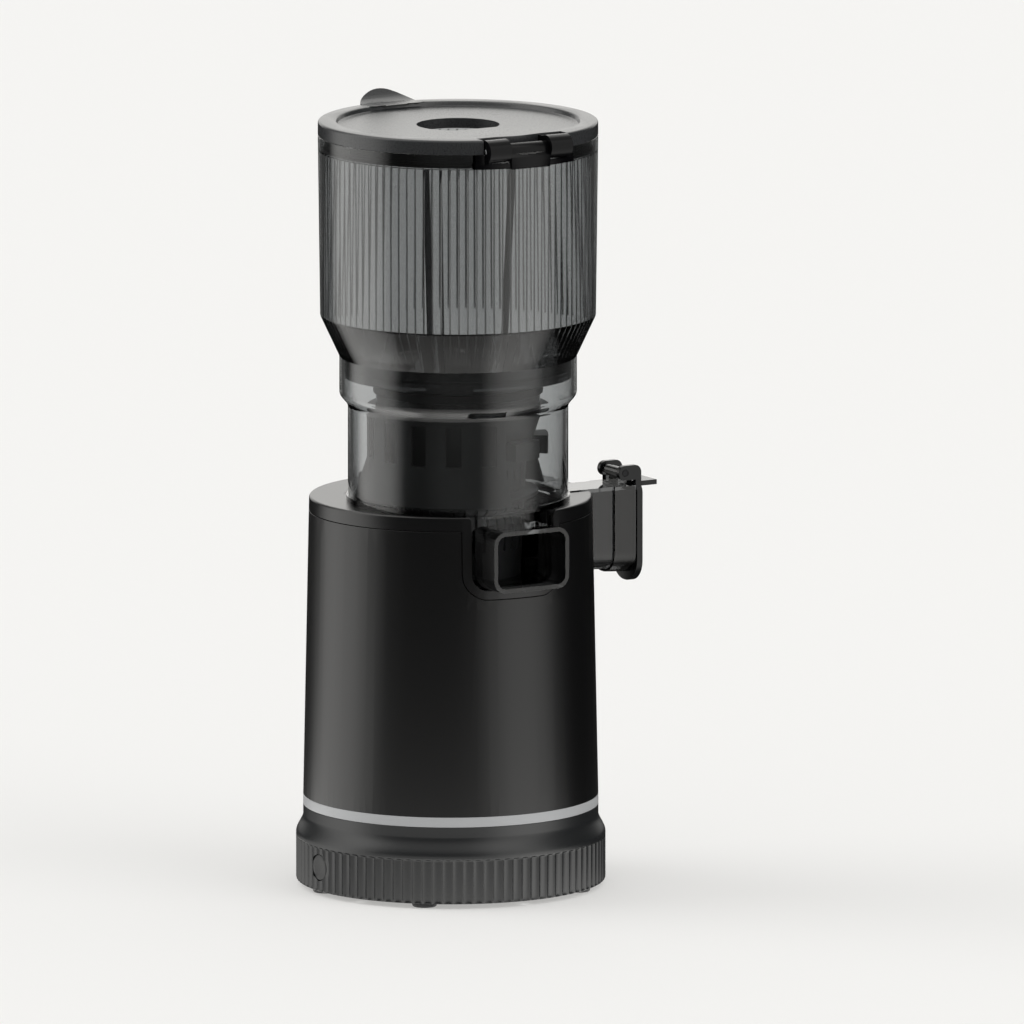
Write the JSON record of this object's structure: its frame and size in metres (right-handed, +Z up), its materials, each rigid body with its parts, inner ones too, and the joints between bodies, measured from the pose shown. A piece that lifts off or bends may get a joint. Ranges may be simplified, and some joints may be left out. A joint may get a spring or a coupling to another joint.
{
  "type": "cold press juicer",
  "caption": "Upright cold press juicer: motor base with geared drive, smoke-clear bowl with juice and pulp spouts, strainer and auger, fluted hopper, hinged lid with a feed hole.",
  "frame": {"origin": "on the table, under the middle of the whole object's outline", "axes": "+Z up, -Y to the front where the juice spout is, +X to the side of the pulp spout"},
  "size_m": [0.2194, 0.1958, 0.4723],
  "materials": {
    "foot_rubber": "matt moulded rubber",
    "inner_plastic": "plain moulded",
    "screw_steel": "zinc plated",
    "plinth_plastic": "fine matt texture",
    "band_silver": "satin silver lacquer",
    "housing_plastic": "satin charcoal",
    "deck_plastic": "satin dark grey",
    "button_plastic": "satin",
    "silicone": "matt silicone",
    "case_alloy": "die cast",
    "bush_bronze": "sintered bronze",
    "motor_steel": "plated sheet steel",
    "rotor_winding": "enamelled copper on steel plates",
    "shaft_steel": "ground",
    "gear_nylon": "natural nylon",
    "fan_plastic": "plain moulded",
    "board_laminate": "green solder mask",
    "board_components": "component cases",
    "smoke_clear": "smoke-tinted clear",
    "hopper_clear": "smoke-tinted clear, fluted inside",
    "strainer_plastic": "satin dark grey",
    "auger_plastic": "satin black",
    "cap_plastic": "smoke grey",
    "lid_plastic": "satin dark grey"
  },
  "bodies": {
    "base": {"foot_1": "foot_rubber", "foot_2": "foot_rubber", "foot_3": "foot_rubber", "foot_4": "foot_rubber", "foot_5": "foot_rubber", "base_plate": "inner_plastic", "plate_screws": "screw_steel", "plinth": "plinth_plastic", "light_band": "band_silver", "housing": "housing_plastic", "deck": "deck_plastic", "shaft_seal": "silicone", "gearbox_case": "case_alloy", "gearbox_cover": "case_alloy", "gearbox_screws": "screw_steel", "idler_pin": "shaft_steel", "lower_bush": "bush_bronze", "upper_bush": "bush_bronze", "motor_can": "motor_steel", "motor_end": "motor_steel", "motor_bushes": "bush_bronze", "stator": "motor_steel", "control_board": "board_laminate", "board_parts": "board_components", "power_switch": "inner_plastic", "cord_gland": "inner_plastic"},
    "rotor": {"motor_shaft": "shaft_steel", "rotor_core": "rotor_winding", "motor_pinion": "gear_nylon", "cooling_fan": "fan_plastic"},
    "idler": {"idler_gear": "gear_nylon"},
    "drive": {"output_gear": "gear_nylon", "drive_shaft": "shaft_steel"},
    "button": {"power_button": "button_plastic"},
    "bowl": {"juice_bowl": "smoke_clear", "bowl_seal": "silicone", "pulp_seal": "silicone", "strainer_drum": "strainer_plastic", "strainer_cage": "strainer_plastic", "cap_pin": "shaft_steel"},
    "pulp_cap": {"pulp_cap": "cap_plastic", "cap_gasket": "silicone"},
    "auger": {"auger_screw": "auger_plastic", "auger_socket": "shaft_steel", "cutting_wing": "auger_plastic"},
    "hopper": {"hopper_shell": "hopper_clear", "hopper_seal": "silicone", "lid_pin": "shaft_steel"},
    "lid": {"lid": "lid_plastic", "lid_gasket": "silicone"}
  },
  "joints": [
    {"name": "bowl_lift", "type": "slide", "parent": "base", "child": "bowl", "axis": [0, 0, 1], "range_m": [0, 0.06]},
    {"name": "hopper_lift", "type": "slide", "parent": "bowl", "child": "hopper", "axis": [0, 0, 1], "range_m": [0, 0.06]},
    {"name": "lid_hinge", "type": "hinge", "parent": "hopper", "child": "lid", "pos_m": [-0.02185, -0.0909, 0.4585], "axis": [1, 0, 0], "range_deg": [0, 100]},
    {"name": "pulp_cap_hinge", "type": "hinge", "parent": "bowl", "child": "pulp_cap", "pos_m": [0.08745, -0.0119, 0.244], "axis": [0, -1, 0], "range_deg": [0, 100]},
    {"name": "power_button_press", "type": "slide", "parent": "base", "child": "button", "axis": [1, 0, 0], "range_m": [0, 0.0015], "stiffness_N_per_m": 300},
    {"name": "rotor_spin", "type": "hinge", "parent": "base", "child": "rotor", "pos_m": [-0.02185, -0.0029, 0.1], "axis": [0, 0, 1], "continuous": true},
    {"name": "idler_spin", "type": "hinge", "parent": "base", "child": "idler", "pos_m": [-0.02185, 0.0331, 0.16], "axis": [0, 0, 1], "continuous": true},
    {"name": "drive_spin", "type": "hinge", "parent": "base", "child": "drive", "pos_m": [-0.02185, -0.0119, 0.19], "axis": [0, 0, 1], "continuous": true},
    {"name": "auger_spin", "type": "hinge", "parent": "bowl", "child": "auger", "pos_m": [-0.02185, -0.0119, 0.19], "axis": [0, 0, 1], "continuous": true}
  ],
  "couplings": [
    {"joint": "idler_spin", "follows": "rotor_spin", "ratio": -0.33333},
    {"joint": "drive_spin", "follows": "rotor_spin", "ratio": 0.11111},
    {"joint": "auger_spin", "follows": "rotor_spin", "ratio": 0.11111}
  ]
}
